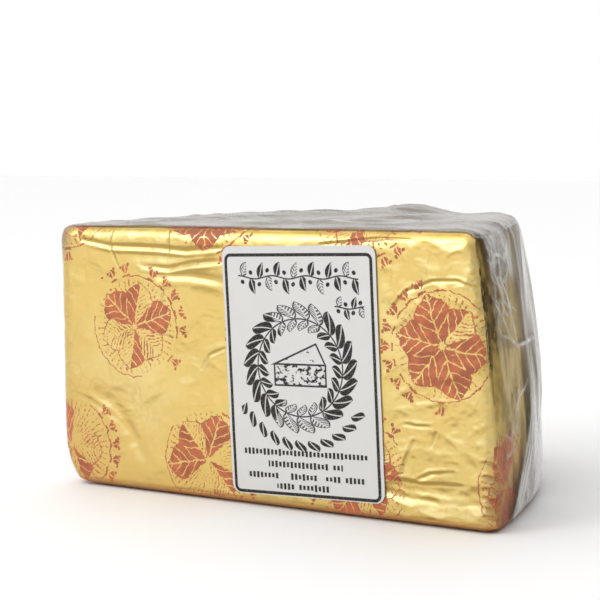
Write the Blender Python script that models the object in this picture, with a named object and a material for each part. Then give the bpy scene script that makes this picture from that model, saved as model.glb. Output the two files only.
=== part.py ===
"""A wedge of blue cheese, wrapped in printed gold foil and clear stretch film, with a paper label.

The wrapped wedge is one solid: an eighth of a wheel, standing on its flat base, with its tip at
-X, its front cut face towards -Y and its rind towards +X. The label is a thin card on the front
cut face. Metres, +Z up, origin under the middle of the whole.
"""

import math

import bmesh
import bpy
from mathutils import Vector

# The wedge
LENGTH = 0.1472  # from the tip to the rind, along the foot of the front cut face
RIND_HEIGHT = 0.0800
TIP_HEIGHT = 0.0786
BACK_SAG = 0.0026  # how much lower the top is at its back corner
BACK_SAG_START = 0.088
BACK_SAG_END = 0.106
WEDGE_ANGLE = math.radians(46)
TIP_RADIUS = 0.0065
FRONT_CORNER_RADIUS = 0.0048  # where the front cut face meets the rind
BACK_CORNER_RADIUS = 0.0170  # where the rind meets the back cut face
TOP_EDGE_RADIUS = 0.0036
BASE_EDGE_RADIUS = 0.0024
RIND_BASE_RADIUS = 0.0040
TIP_FOOT_PULL = 0.0090  # how far the film pulls the foot of the tip in
TIP_FOOT_HEIGHT = 0.0140
TIP_FOOT_REACH = 0.040  # how far from the tip that pull is felt
TOP_TAPER = 0.0061  # how much shorter the wedge is at its top than at its foot
RIND_PRESS = 0.0016  # how far the wrapping presses the round of the rind in
RIND_PRESS_REACH = 0.030  # how far from the front cut face that press is whole
RIND_LEAN = 0.0010  # how much further the rind leans in at the top
TIP_LEAN = 0.0008

# The label
LABEL_WIDTH = 0.050
LABEL_HEIGHT = 0.070
LABEL_CORNER_RADIUS = 0.0026
LABEL_THICKNESS = 0.0004
LABEL_GAP = 0.0003  # between the card and the wrapped face
LABEL_FROM_TIP = 0.0881
LABEL_ABOVE_BASE = 0.0393
LABEL_TURN = math.radians(2.0)

# Steps along each side of the plan and up the wall
CUT_STEPS = 27
HALF_CORNER_STEPS = 3
RIND_STEPS = 24
EDGE_STEPS = 4
WALL_STEPS = 12
LABEL_CORNER_STEPS = 5

CAP_SMOOTHINGS = 400  # passes that spread the cells of the top and the base evenly
ON_THE_BASE = 1e-7  # a vertex lower than this is on the flat base

SIDE_A = CUT_STEPS + HALF_CORNER_STEPS
SIDE_B = RIND_STEPS + 2 * HALF_CORNER_STEPS
ROWS = WALL_STEPS + 2 * EDGE_STEPS

# Folds of the wrapping: ridges above the even surface, or creases where the height is below
# zero. Each runs between two points, measured from the tip's foot, with its height and its
# half-width in the middle. Distances and heights are in metres.
TOP_FOLDS = (
    ((0.014, 0.017, 0.079), (0.082, 0.087, 0.080), 0.0016, 0.0070),
    ((0.068, 0.081, 0.080), (0.088, 0.094, 0.079), 0.0030, 0.0065),
    ((0.040, 0.010, 0.079), (0.118, 0.026, 0.080), 0.0011, 0.0045),
    ((0.070, 0.036, 0.079), (0.128, 0.052, 0.080), 0.0013, 0.0050),
    ((0.052, 0.030, 0.079), (0.108, 0.066, 0.080), -0.0010, 0.0050),
    ((0.128, 0.020, 0.079), (0.124, 0.062, 0.078), 0.0012, 0.0055),
)
FRONT_CREASES = (
    ((0.006, 0.000, 0.069), (0.056, 0.000, 0.066), -0.0009, 0.0028),
    ((0.010, 0.000, 0.062), (0.054, 0.000, 0.060), -0.0006, 0.0026),
    ((0.112, 0.000, 0.070), (0.134, 0.000, 0.060), -0.0008, 0.0034),
    ((0.116, 0.000, 0.018), (0.138, 0.000, 0.010), -0.0008, 0.0034),
    ((0.014, 0.000, 0.034), (0.040, 0.000, 0.020), -0.0006, 0.0040),
)
RIND_FOLD_BEARINGS = (4.0, 11.5, 19.0, 27.0, 35.0, 41.0)  # degrees round the rind
RIND_FOLD_HEIGHTS = (0.0008, 0.0013, 0.0010, 0.0016, 0.0011, 0.0014)
RIND_FOLD_TILTS = (2.0, -3.0, 2.5, -2.0, 3.0, -2.5)  # degrees round, from foot to top
RIND_FOLD_WIDTH = 0.0034
RIND_FOLD_FOOT = 0.012
RIND_FOLD_TOP = 0.070

UP = Vector((0, 0, 1))


# The plan outline
def heading(angle):
    return Vector((math.cos(angle), math.sin(angle), 0))


def line_run(start, end, steps):
    """Stations along a straight side: each is a point on the outline and its outward normal."""
    along = (end - start).normalized()
    normal = Vector((along.y, -along.x, 0))
    return [(start.lerp(end, n / steps), normal) for n in range(steps + 1)]


def arc_run(centre, radius, start_angle, end_angle, steps):
    """Stations round an arc that bulges outwards."""
    run = []
    for n in range(steps + 1):
        normal = heading(start_angle + (end_angle - start_angle) * n / steps)
        run.append((centre + radius * normal, normal))
    return run


def join_runs(*runs):
    """One list of stations from runs that meet end to start."""
    joined = list(runs[0])
    for run in runs[1:]:
        joined += run[1:]
    return joined


def plan_sides():
    """The stations of the front, rind, back and tip, counter-clockwise seen from above."""
    front, back = -math.pi / 2, WEDGE_ANGLE + math.pi / 2
    tip_centre = Vector((TIP_RADIUS, TIP_RADIUS, 0))
    wheel_centre = Vector((TIP_RADIUS - TIP_RADIUS / math.tan(WEDGE_ANGLE / 2), 0, 0))
    wheel_radius = LENGTH - wheel_centre.x

    def corner(radius):
        """How far a corner arc's centre is from the wheel's, and its bearing off the cut face."""
        reach = wheel_radius - radius
        return reach, math.asin(radius / reach)

    near_reach, near_bearing = corner(FRONT_CORNER_RADIUS)
    far_reach, far_bearing = corner(BACK_CORNER_RADIUS)
    far_bearing = WEDGE_ANGLE - far_bearing
    near_centre = wheel_centre + near_reach * heading(near_bearing)
    far_centre = wheel_centre + far_reach * heading(far_bearing)
    near_middle = (front + near_bearing) / 2
    far_middle = (far_bearing + back) / 2

    def near_arc(start, end):
        return arc_run(near_centre, FRONT_CORNER_RADIUS, start, end, HALF_CORNER_STEPS)

    def far_arc(start, end):
        return arc_run(far_centre, BACK_CORNER_RADIUS, start, end, HALF_CORNER_STEPS)

    front_start = tip_centre + TIP_RADIUS * heading(front)
    front_end = near_centre + FRONT_CORNER_RADIUS * heading(front)
    back_start = far_centre + BACK_CORNER_RADIUS * heading(back)
    back_end = tip_centre + TIP_RADIUS * heading(back)
    return {
        "front": join_runs(
            line_run(front_start, front_end, CUT_STEPS), near_arc(front, near_middle)
        ),
        "rind": join_runs(
            near_arc(near_middle, near_bearing),
            arc_run(wheel_centre, wheel_radius, near_bearing, far_bearing, RIND_STEPS),
            far_arc(far_bearing, far_middle),
        ),
        "back": join_runs(
            far_arc(far_middle, back), line_run(back_start, back_end, CUT_STEPS)
        ),
        "tip": arc_run(tip_centre, TIP_RADIUS, back, 2 * math.pi + front, SIDE_B),
    }


# The wall's profile
def smooth_step(share):
    share = min(max(share, 0.0), 1.0)
    return share * share * (3 - 2 * share)


def facing(normal, angle):
    """From 0 to 1: how much a wall with this normal faces the given way."""
    return smooth_step(normal.dot(heading(angle)))


def top_height(foot):
    """How high the top is over a point of the plan: it rises to the rind and sags at the back."""
    rise = (RIND_HEIGHT - TIP_HEIGHT) * foot.x / LENGTH
    back = smooth_step((foot.y - BACK_SAG_START) / (BACK_SAG_END - BACK_SAG_START))
    return TIP_HEIGHT + rise - BACK_SAG * back


def tip_foot(point):
    """Pulls the foot of the tip in towards the wedge, along a quarter of an ellipse."""
    below = 1 - min(point.z / TIP_FOOT_HEIGHT, 1.0)
    near = max(1 - point.x / TIP_FOOT_REACH, 0.0)
    pull = TIP_FOOT_PULL * (1 - math.sqrt(1 - below**2)) * near**2
    return point + Vector((pull, 0, 0))


def wall_point(station, row):
    """A point of the wall and its outward normal, at a station of the plan and a row."""
    foot, normal = station
    rind = facing(normal, WEDGE_ANGLE / 2) * smooth_step(foot.y / RIND_PRESS_REACH)
    tip = facing(normal, math.pi)
    base_radius = BASE_EDGE_RADIUS + rind * (RIND_BASE_RADIUS - BASE_EDGE_RADIUS)
    height = top_height(foot)
    if row <= EDGE_STEPS:
        turn = math.pi / 2 * row / EDGE_STEPS
        z = base_radius * (1 - math.cos(turn))
        inset = base_radius * (1 - math.sin(turn))
        direction = math.sin(turn) * normal - math.cos(turn) * UP
    elif row < ROWS - EDGE_STEPS:
        share = (row - EDGE_STEPS) / WALL_STEPS
        z = base_radius + (height - TOP_EDGE_RADIUS - base_radius) * share
        inset = 0.0
        direction = normal
    else:
        turn = math.pi / 2 * (ROWS - row) / EDGE_STEPS
        z = height - TOP_EDGE_RADIUS * (1 - math.cos(turn))
        inset = TOP_EDGE_RADIUS * (1 - math.sin(turn))
        direction = math.sin(turn) * normal + math.cos(turn) * UP
    share = z / height
    inset += rind * (RIND_PRESS + RIND_LEAN * share**2) + tip * TIP_LEAN * share
    taper = 1 - TOP_TAPER / LENGTH * share**2
    return tip_foot(taper * foot - inset * normal + z * UP), direction


def cap_point(sides, i, j, row):
    """A first place for a point of the top or the base, blended from the four edges round it."""
    u, v = i / SIDE_A, j / SIDE_B

    def edge(side, index):
        return wall_point(sides[side][index], row)[0]

    across = edge("front", i).lerp(edge("back", SIDE_A - i), v)
    along = edge("tip", SIDE_B - j).lerp(edge("rind", j), u)
    near = edge("front", 0).lerp(edge("front", SIDE_A), u)
    far = edge("back", SIDE_A).lerp(edge("back", 0), u)
    return across + along - near.lerp(far, v)


# The folds
def fold_height(point, start, end, height, width):
    """How far a fold lifts the surface at a point: a rounded ridge that fades at its ends."""
    start, end = Vector(start), Vector(end)
    span = end - start
    share = min(max((point - start).dot(span) / span.length_squared, 0.0), 1.0)
    off = (point - start.lerp(end, share)).length
    return height * math.sin(math.pi * (0.1 + 0.8 * share)) * math.exp(-((off / width) ** 2))


def rind_folds():
    """The upright folds of the film on the rind, as start, end, height and width."""
    wheel_x = TIP_RADIUS - TIP_RADIUS / math.tan(WEDGE_ANGLE / 2)
    radius = LENGTH - wheel_x
    folds = []
    for bearing, height, tilt in zip(
        RIND_FOLD_BEARINGS, RIND_FOLD_HEIGHTS, RIND_FOLD_TILTS
    ):
        foot = Vector((wheel_x, 0, RIND_FOLD_FOOT)) + radius * heading(math.radians(bearing))
        top = Vector((wheel_x, 0, RIND_FOLD_TOP))
        top += (radius - TOP_TAPER) * heading(math.radians(bearing + tilt))
        folds.append((foot, top, height, RIND_FOLD_WIDTH))
    return folds


def relief(point, folds):
    return sum(fold_height(point, *fold) for fold in folds)


# The pieces
def material(name, colour, roughness, metallic):
    made = bpy.data.materials.new(name)
    made.use_nodes = True
    shader = made.node_tree.nodes["Principled BSDF"]
    shader.inputs["Base Color"].default_value = (*colour, 1)
    shader.inputs["Roughness"].default_value = roughness
    shader.inputs["Metallic"].default_value = metallic
    return made


def stepped_block():
    """A box whose corners are at whole numbers, cut into one cell for each step of the wall."""
    block = bmesh.new()
    bmesh.ops.create_cube(block, size=1)
    bmesh.ops.translate(block, verts=block.verts, vec=(0.5, 0.5, 0.5))
    bmesh.ops.scale(block, verts=block.verts, vec=(SIDE_A, SIDE_B, ROWS))
    for axis, steps in enumerate((SIDE_A, SIDE_B, ROWS)):
        plane = Vector([float(axis == n) for n in range(3)])
        for step in range(1, steps):
            everything = block.verts[:] + block.edges[:] + block.faces[:]
            bmesh.ops.bisect_plane(
                block, geom=everything, plane_co=step * plane, plane_no=plane
            )
    return block


def station_at(sides, i, j):
    """The plan's station at the rim cell (i, j) of the block."""
    if j == 0:
        return sides["front"][i]
    if i == SIDE_A:
        return sides["rind"][j]
    if j == SIDE_B:
        return sides["back"][SIDE_A - i]
    return sides["tip"][SIDE_B - j]


def place_block(block, sides):
    """Moves the stepped block onto the even wedge, and returns each vertex's way out."""
    ways_out = {}
    cap_verts = []
    for vertex in block.verts:
        i, j, row = (round(n) for n in vertex.co)
        if i in (0, SIDE_A) or j in (0, SIDE_B):
            vertex.co, ways_out[vertex] = wall_point(station_at(sides, i, j), row)
        else:
            vertex.co, ways_out[vertex] = cap_point(sides, i, j, row), UP
            cap_verts.append(vertex)
    for _ in range(CAP_SMOOTHINGS):
        bmesh.ops.smooth_vert(
            block,
            verts=cap_verts,
            factor=0.5,
            use_axis_x=True,
            use_axis_y=True,
            use_axis_z=True,
        )
    return ways_out


def make_wrapped_wedge(collection):
    """The foil-wrapped cheese inside its film, out to the film's outer skin."""
    sides = plan_sides()
    folds = (*TOP_FOLDS, *FRONT_CREASES, *rind_folds())
    block = stepped_block()
    for vertex, way_out in place_block(block, sides).items():
        if vertex.co.z > ON_THE_BASE:
            vertex.co += relief(vertex.co, folds) * way_out
    block.normal_update()
    base = [
        face for face in block.faces if max(v.co.z for v in face.verts) < ON_THE_BASE
    ]
    bmesh.ops.dissolve_faces(block, faces=base, use_verts=False)
    bmesh.ops.recalc_face_normals(block, faces=block.faces)
    mesh = bpy.data.meshes.new("wrapped_wedge")
    block.to_mesh(mesh)
    block.free()
    mesh.shade_smooth()
    mesh.materials.append(material("gold_foil", (0.72, 0.52, 0.20), 0.35, 0.8))
    wedge = bpy.data.objects.new("wrapped_wedge", mesh)
    collection.objects.link(wedge)
    return wedge


def make_label(collection):
    """The card label: a flat outline with rounded corners, stood up against the front face."""
    half_width = LABEL_WIDTH / 2 - LABEL_CORNER_RADIUS
    half_height = LABEL_HEIGHT / 2 - LABEL_CORNER_RADIUS
    outline = []
    for quarter, (x, y) in enumerate(((1, 1), (-1, 1), (-1, -1), (1, -1))):
        centre = Vector((x * half_width, y * half_height, 0))
        start = quarter * math.pi / 2
        run = arc_run(
            centre, LABEL_CORNER_RADIUS, start, start + math.pi / 2, LABEL_CORNER_STEPS
        )
        outline += [point for point, normal in run]
    curve = bpy.data.curves.new("label", "CURVE")
    curve.dimensions = "2D"
    curve.fill_mode = "BOTH"
    curve.extrude = LABEL_THICKNESS / 2
    spline = curve.splines.new("POLY")
    spline.points.add(len(outline) - 1)
    for spot, point in zip(spline.points, outline):
        spot.co = (*point, 1)
    spline.use_cyclic_u = True
    curve.materials.append(material("label_card", (0.80, 0.80, 0.77), 0.45, 0.0))
    label = bpy.data.objects.new("label", curve)
    label.location = (
        LABEL_FROM_TIP,
        -LABEL_GAP - LABEL_THICKNESS / 2,
        LABEL_ABOVE_BASE,
    )
    label.rotation_euler = (math.pi / 2, -LABEL_TURN, 0)
    collection.objects.link(label)
    return label


def centre_on_origin(collection, pieces):
    """Hangs the pieces on one empty and slides it so that the origin is under their middle."""
    carrier = bpy.data.objects.new("gorgonzola_wedge", None)
    collection.objects.link(carrier)
    bpy.context.view_layer.update()
    corners = [
        piece.matrix_world @ Vector(corner)
        for piece in pieces
        for corner in piece.bound_box
    ]
    for piece in pieces:
        piece.parent = carrier
    for axis in (0, 1):
        places = [corner[axis] for corner in corners]
        carrier.location[axis] = -(min(places) + max(places)) / 2


def main():
    for leftover in list(bpy.data.objects):
        bpy.data.objects.remove(leftover)
    collection = bpy.data.collections.new("gorgonzola_wedge")
    bpy.context.scene.collection.children.link(collection)
    wedge = make_wrapped_wedge(collection)
    label = make_label(collection)
    centre_on_origin(collection, (wedge, label))


main()
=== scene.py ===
# %% [markdown]
# # A wedge of blue cheese in printed foil and stretch film
#
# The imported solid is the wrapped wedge, out to its film, with a flat card for the label. This lesson
# dresses it in the three layers of the real pack: gold foil with a printed pattern, clear film pulled
# tight over it, and a paper sticker. It starts with the fixed frame, whose sizes the later steps read.

# %% Load the frame
import math

import bmesh
import bpy
import numpy as np
from mathutils import Matrix, Vector, noise
from mathutils.bvhtree import BVHTree


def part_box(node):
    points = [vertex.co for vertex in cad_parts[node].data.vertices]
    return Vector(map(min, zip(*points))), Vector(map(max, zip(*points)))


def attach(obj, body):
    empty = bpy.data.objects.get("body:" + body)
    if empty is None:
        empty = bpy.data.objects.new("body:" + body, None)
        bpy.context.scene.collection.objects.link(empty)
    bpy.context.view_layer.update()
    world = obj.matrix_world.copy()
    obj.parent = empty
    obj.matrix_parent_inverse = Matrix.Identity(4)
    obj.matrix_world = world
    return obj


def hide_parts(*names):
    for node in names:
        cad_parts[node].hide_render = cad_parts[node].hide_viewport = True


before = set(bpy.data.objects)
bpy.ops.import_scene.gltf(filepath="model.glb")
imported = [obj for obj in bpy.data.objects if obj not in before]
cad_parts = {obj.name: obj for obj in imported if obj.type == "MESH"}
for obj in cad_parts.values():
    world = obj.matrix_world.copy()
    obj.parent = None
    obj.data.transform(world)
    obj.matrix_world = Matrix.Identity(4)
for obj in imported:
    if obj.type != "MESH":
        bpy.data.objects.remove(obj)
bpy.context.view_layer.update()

MM = 0.001
wedge_low, wedge_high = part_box("wrapped_wedge")
label_low, label_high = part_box("label")

# %% [markdown]
# ## The plan of the wedge
#
# Folds and print run round the wedge as on one sheet of wrapping, so they need a ruler that goes
# round it too. One way is to unwrap the finished mesh by hand. The other is to know the plan: an
# eighth of a wheel, whose centre lies a little beyond the rounded tip. The second is exact, and the
# same ruler then places every fold. On the front it is simply x.

# %% The plan and its ruler
WEDGE_ANGLE = math.radians(46)
TIP_RADIUS = 6.5 * MM
FRONT_Y = label_high.y + 0.3 * MM
WHEEL_X = wedge_low.x + TIP_RADIUS - TIP_RADIUS / math.tan(WEDGE_ANGLE / 2)
WHEEL_RADIUS = wedge_high.x - WHEEL_X
TIP_CENTRE_X = wedge_low.x + TIP_RADIUS
WALL_LIMIT = 0.7  # a face whose normal points up or down by more than this is top or base
RIND_TURN = math.pi / 4  # walls turned further than this are rind, or tip the other way
BACK_TURN, FAR_BACK_TURN = -1.95, 2.9  # walls turned beyond either are the back


def polar(points):
    """Each point's distance from the wheel's axis and its bearing off the front cut face."""
    x = points[:, 0] - WHEEL_X
    y = points[:, 1] - FRONT_Y
    return np.hypot(x, y), np.arctan2(y, x)


def around(points, normals):
    """The ruler: x along the front, and past the corner the way round the rind and the back.

    A wall's turn is 0 where it faces the front, above 0 round to the rind and below 0 to the tip.
    """
    radius, bearing = polar(points)
    turn = np.arctan2(normals[:, 0], -normals[:, 1])
    rind = wedge_high.x + WHEEL_RADIUS * bearing
    back = wedge_high.x + WHEEL_RADIUS * WEDGE_ANGLE + WHEEL_RADIUS - radius
    tip = TIP_CENTRE_X - TIP_RADIUS * np.abs(turn)
    place = np.where(turn > RIND_TURN, rind, points[:, 0])
    place = np.where((turn < -RIND_TURN) & (turn > BACK_TURN), tip, place)
    return np.where((turn <= BACK_TURN) | (turn > FAR_BACK_TURN), back, place)


print("wheel radius, mm:", round(WHEEL_RADIUS / MM, 1))

# %% [markdown]
# ## One base shape for both layers
#
# Foil and film follow the same cheese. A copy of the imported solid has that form, but its cells are
# coarse. Subdivision would round it and keep the long cells. A voxel remesh gives small even cells
# that take folds in any direction, so the copy is rounded first and remeshed after. The rim of the
# base is creased, so that rounding doesn't draw it in.

# %% Round and remesh a copy of the solid
MERGE = 0.01 * MM
ROUNDINGS = 2


def linked(name, data):
    """A new object of the scene."""
    item = bpy.data.objects.new(name, data)
    bpy.context.scene.collection.objects.link(item)
    return item


def soften(body, passes):
    """Evens out the cells and takes the steps off their slopes."""
    axes = {"use_axis_x": True, "use_axis_y": True, "use_axis_z": True}
    for _ in range(passes):
        bmesh.ops.smooth_vert(body, verts=body.verts[:], factor=0.5, **axes)


def merged_copy(node):
    """The node's mesh as a bmesh of four-sided faces, with its base as one face."""
    body = bmesh.new()
    body.from_mesh(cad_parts[node].data)
    bmesh.ops.remove_doubles(body, verts=body.verts, dist=MERGE)
    base = [face for face in body.faces if max(v.co.z for v in face.verts) < MERGE]
    rim = bmesh.ops.dissolve_faces(body, faces=base)["region"]
    crease = body.edges.layers.float.new("crease_edge")
    for edge in {edge for face in rim for edge in face.edges}:
        edge[crease] = 1.0
    bmesh.ops.join_triangles(
        body, faces=body.faces, angle_face_threshold=math.pi, angle_shape_threshold=math.pi
    )
    return body


def base_shape(cell, smoothings):
    """A closed, even mesh of the wrapped wedge, with cells of that size."""
    body = merged_copy("wrapped_wedge")
    mesh = bpy.data.meshes.new("base_shape")
    body.to_mesh(mesh)
    shape = linked("base_shape", mesh)
    rounding = shape.modifiers.new("rounding", "SUBSURF")
    rounding.levels = rounding.render_levels = ROUNDINGS
    cells = shape.modifiers.new("cells", "REMESH")
    cells.mode = "VOXEL"
    cells.voxel_size = cell
    finished = shape.evaluated_get(bpy.context.evaluated_depsgraph_get())
    body.clear()
    body.from_mesh(finished.to_mesh())
    finished.to_mesh_clear()
    bpy.data.objects.remove(shape)
    soften(body, smoothings)
    print("base shape:", len(body.faces), "faces of", round(cell / MM, 2), "mm")
    return body


# %% [markdown]
# ## Tools for sculpting
#
# A fold is a place, a height and a width. Dragging a brush would do it by eye. Moving each vertex
# along its normal by a height worked out from its place gives the same fold each time. Loose folds
# come from smooth noise, stretched along the way the wrapping is pulled, and single folds from
# their distance to a line drawn on the unrolled wrapping.

# %% Heights from noise and from drawn lines
RIDGE_GAIN = 2.2  # how steeply a ridge falls to its hollow
LIP_PLACE = 1.6  # how far a lip lies from its groove, in widths of the groove
END_FADE, FADE_POWER = 0.06, 0.6  # how a fold fades towards its ends


def grain(points, size, seed=0.0):
    """Smooth noise from -1 to 1, with lumps of the given size, in mm along x, y and z."""
    places = points / (np.array(size) * MM) + seed
    return np.array([noise.noise(place) for place in places.tolist()])


def ridges(points, size, seed):
    """Noise folded over at zero: from 0 in the hollows to 1 along sharp ridges."""
    return 1 - np.minimum(np.abs(grain(points, size, seed)) * RIDGE_GAIN, 1)


def step(share):
    """A smooth step from 0 to 1."""
    share = np.clip(share, 0, 1)
    return share * share * (3 - 2 * share)


def ramp(values, start, rise):
    """A smooth step from 0 at start to 1 at start + rise. It falls where rise is below 0."""
    return step((values - start) / rise)


def at_least(low, share):
    """From low to 1 as share goes from 0 to 1."""
    return low + (1 - low) * share


def bell(places, middle, width):
    """1 at the middle, falling to 0 on both sides."""
    return np.exp(-(((places - middle) / width) ** 2))


def drawn(flat, line, depth, width, lip=0.5):
    """The height of one fold: a groove along the line, and a lip on its left-hand side."""
    line = np.array(line) * MM
    nearest = np.full(len(flat), 1.0)
    height = np.zeros(len(flat))
    lengths = np.linalg.norm(np.diff(line, axis=0), axis=1)
    done = 0.0
    for start, end, length in zip(line[:-1], line[1:], lengths):
        along = (end - start) / length
        offset = flat - start
        share = np.clip(offset @ along / length, 0, 1)
        side = (offset @ np.array((-along[1], along[0]))) / (width * MM)
        away = np.linalg.norm(offset - share[:, None] * length * along, axis=1)
        way = (done + share * length) / lengths.sum()
        fade = np.sin(math.pi * (END_FADE + (1 - 2 * END_FADE) * way)) ** FADE_POWER
        bend = away / (width * MM)
        groove = lip * bell(bend, LIP_PLACE, 1) * (side > 0) - bell(bend, 0, 1)
        closer = away < nearest
        height = np.where(closer, depth * MM * fade * groove, height)
        nearest = np.minimum(nearest, away)
        done += length
    return height


# %% [markdown]
# ## Where each face is
#
# The front is tight and almost flat, the top and the rind are loose. A weight for each side, from 0
# to 1 and smooth over the edges, lets one formula treat them differently with no visible join.

# %% Weights of the sides
RIND_NORMAL = (math.cos(WEDGE_ANGLE / 2), math.sin(WEDGE_ANGLE / 2), 0)
SIDE_NORMALS = {
    "front": (0, -1, 0),
    "top": (0, 0, 1),
    "base": (0, 0, -1),
    "rind": RIND_NORMAL,
    "back": (-math.sin(WEDGE_ANGLE), math.cos(WEDGE_ANGLE), 0),
    "tip": (-1, 0, 0),
}
SIDE_START, SIDE_FULL = 0.35, 0.95  # how closely a normal has to follow that of its side


def sides(normals):
    """How much each vertex belongs to each side, from 0 to 1."""
    return {
        name: ramp(normals @ np.array(way), SIDE_START, SIDE_FULL - SIDE_START)
        for name, way in SIDE_NORMALS.items()
    }


def read(body):
    """The places and normals of a bmesh's vertices."""
    body.normal_update()
    points = np.array([v.co[:] for v in body.verts])
    normals = np.array([v.normal[:] for v in body.verts])
    return points, normals


def cut_finer(body, wanted):
    """Cuts each wanted face into four."""
    edges = {edge for face in body.faces if wanted(face) for edge in face.edges}
    bmesh.ops.subdivide_edges(body, edges=list(edges), cuts=1, use_grid_fill=True)
    soften(body, 2)


# %% [markdown]
# ## Folds of the foil
#
# Foil keeps every crease. The real one has long folds below its top edge, where it was pulled
# towards the tip, a crumpled right-hand third, fine upright folds at the corner by the rind and
# small pleats at that corner's foot. They are drawn as lines, in millimetres along the ruler and
# up from the base. Left of a line is its lip. Broad hollows have none: one lies above the foot, so
# that the foil below it faces the light, and one leans the foil back under the top edge.

# %% Lines of the folds
LONG_FOLDS = (
    (((-12, 72.9), (-25, 71.6), (-35, 72.2), (-51, 72.3), (-62, 73.9)), 0.50, 0.70),
    (((-12, 69.2), (-22.6, 68.1), (-31, 66.4), (-40, 66.8)), 0.45, 0.75),
    (((-12, 63.6), (-24, 64.8), (-34, 64.4)), 0.34, 1.30),
    (((-51, 77.0), (-51.5, 72.0), (-49, 66.5)), 0.28, 0.40),
    (((-31, 78.0), (-30.6, 74.5), (-31, 70.5)), 0.30, 0.40),
    (((-32, 63.5), (-33, 58.0), (-35, 53.5)), 0.20, 0.40),
    (((-56, 76.8), (-52.5, 76.9), (-52.4, 78.5)), 0.20, 0.35),
    (((-11, 44.6), (-17, 42.0), (-20, 38.0)), 0.18, 0.45),
    (((20, 74.7), (27.6, 75.6), (32.6, 76.4), (38.7, 77.2), (47.3, 77.0)), 0.38, 0.55),
    (((42, 58.0), (46, 63.0), (54, 66.0), (61, 66.4), (67, 64.6)), 0.26, 0.42),
    (((45, 27.5), (49, 27.2), (53, 27.4)), 0.22, 0.45),
    (((55, 26.0), (53.4, 22.0)), 0.20, 0.40),
    (((43.8, 12.3), (45.7, 17.9), (48.1, 23.0)), 0.26, 0.50),
    (((48, 12.0), (53, 14.5), (60, 15.5)), 0.24, 0.55),
    (((36, 9.2), (46, 7.6), (58, 7.0), (68, 7.6)), 0.20, 0.80),
    (((38, 12.6), (50, 11.6), (65, 12.3)), 0.14, 0.50),
    (((-67, 28.0), (-60, 26.0), (-50, 21.0)), 0.12, 0.80),
)
CORNER_FOLDS = (
    (((73.2, 64), (74.3, 50), (73.6, 38), (74.0, 22)), 0.50, 0.45),
    (((75.6, 76), (77.0, 60), (75.8, 46), (76.6, 34)), 0.60, 0.50),
    (((78.6, 66), (79.4, 54), (78.4, 44)), 0.50, 0.45),
    (((71.8, 58), (72.3, 50), (71.9, 42)), 0.34, 0.35),
)
BROAD_HOLLOWS = (
    (((16, 9.9), (45, 9.3), (60, 9.1), (75, 9.7)), 0.50, 3.0),
    (((-76, 81.6), (-30, 81.8), (20, 81.8), (78, 81.0)), 0.80, 5.0),
    (((-44, 69.8), (-28, 69.6), (-11, 71.0)), 0.34, 2.0),
    (((-66, 34), (-52, 46), (-40, 58)), 0.30, 4.0),
    (((-44, 14), (-30, 34), (-18, 52)), 0.26, 3.6),
    (((-58, 28), (-51, 25), (-45, 17), (-40, 9)), 0.34, 2.0),
)
PLEAT_HEIGHTS = (3.6, 5.9, 8.4, 11.0, 14.2, 18.0)
PLEAT_START, PLEAT_END = 69.0, 76.5
PLEAT_SLANT = 1.1
PLEAT_DEPTH, PLEAT_WIDTH = 0.45, 0.5


def named_folds(flat):
    """The height of all the drawn folds, at places on the unrolled wrapping."""
    height = np.zeros(len(flat))
    for line, depth, width in LONG_FOLDS + CORNER_FOLDS:
        height += drawn(flat, line, depth, width)
    for level in PLEAT_HEIGHTS:
        line = ((PLEAT_START, level + PLEAT_SLANT), (PLEAT_END, level))
        height += drawn(flat, line, PLEAT_DEPTH, PLEAT_WIDTH)
    return height


def broad_hollows(flat):
    """The height of the hollows, which are wide and have no lip."""
    return sum(drawn(flat, line, depth, width, lip=0) for line, depth, width in BROAD_HOLLOWS)


print("folds:", len(LONG_FOLDS + CORNER_FOLDS), "drawn, and", len(PLEAT_HEIGHTS), "pleats")

# %% [markdown]
# ## The foil
#
# It lies inside the film: close under it on the front, and further down where the film is loose. Its
# crumple is low and broad on the left, and stronger towards the rind. The same crumple will be given
# to the film, which is stuck tight to the foil there.

# %% Sculpt the foil
FOIL_CELL = 1.42 * MM
FILM_GAP = 0.30 * MM
TOP_GAP = 1.15 * MM
RIND_GAP = 1.05 * MM
BACK_GAP = 0.45 * MM
BASE_GAP = 0.15 * MM
CRUMPLE_DROP = 0.25 * MM  # how far the middle of the dents lies below the solid's face
BROAD_DENTS = (17, 14, 13)
BROAD_DENT_HEIGHT = 0.26
DENTS = (  # lump size, seed of the noise, height where calm and height added where busy, in mm
    ((9, 8, 6), 3.7, 0.09, 0.10),
    ((4.4, 4, 3.4), 9.1, 0.03, 0.05),
    ((2.1, 2, 1.8), 4.4, 0.01, 0.03),
)
BUSY_START, BUSY_RISE = 15 * MM, 40 * MM  # where along the front the foil gets busy
BUSY_PATCHES = (30, 26, 24)
LOOSE_DENTS = 0.25  # how much of the dents is left on the top and the rind
LABEL_HOLD = 0.85  # how much of them the sticker presses flat
HELD_HALF_WIDTH, HELD_HALF_HEIGHT, HELD_RIM = 25.5 * MM, 35.5 * MM, 3 * MM
FRONT_DEPTH = 5 * MM
FRONT_FACING = -0.45
RIND_PLEATS, RIND_PLEAT_DEPTH = (8, 4.5, 34), 0.55 * MM
TIGHT_SLACK, TIGHT_EDGE = 0.15, 9 * MM
DEEP_FOLD = 0.4 * MM  # folds this deep get the full painted shade of a crease
TILT_GAIN = 2.0
# Where the painted shade on the corner by the rind lies.
BAND_PLACE, BAND_WIDTH, BAND_DRIFT = 75.5, 3.2, 3.6  # in mm on the ruler, as are the next two
LINE_PLACE, LINE_WIDTH, LINE_SHARE = 73.6, 1.0, 0.8
PATCH_PLACE, PATCH_WIDTH = 80.5, 4.0
DRIFT_RISE, BAND_RISE, LINE_RISE = (64, 14), (32, 20), (8, 10)  # start and rise, in mm of height
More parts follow.
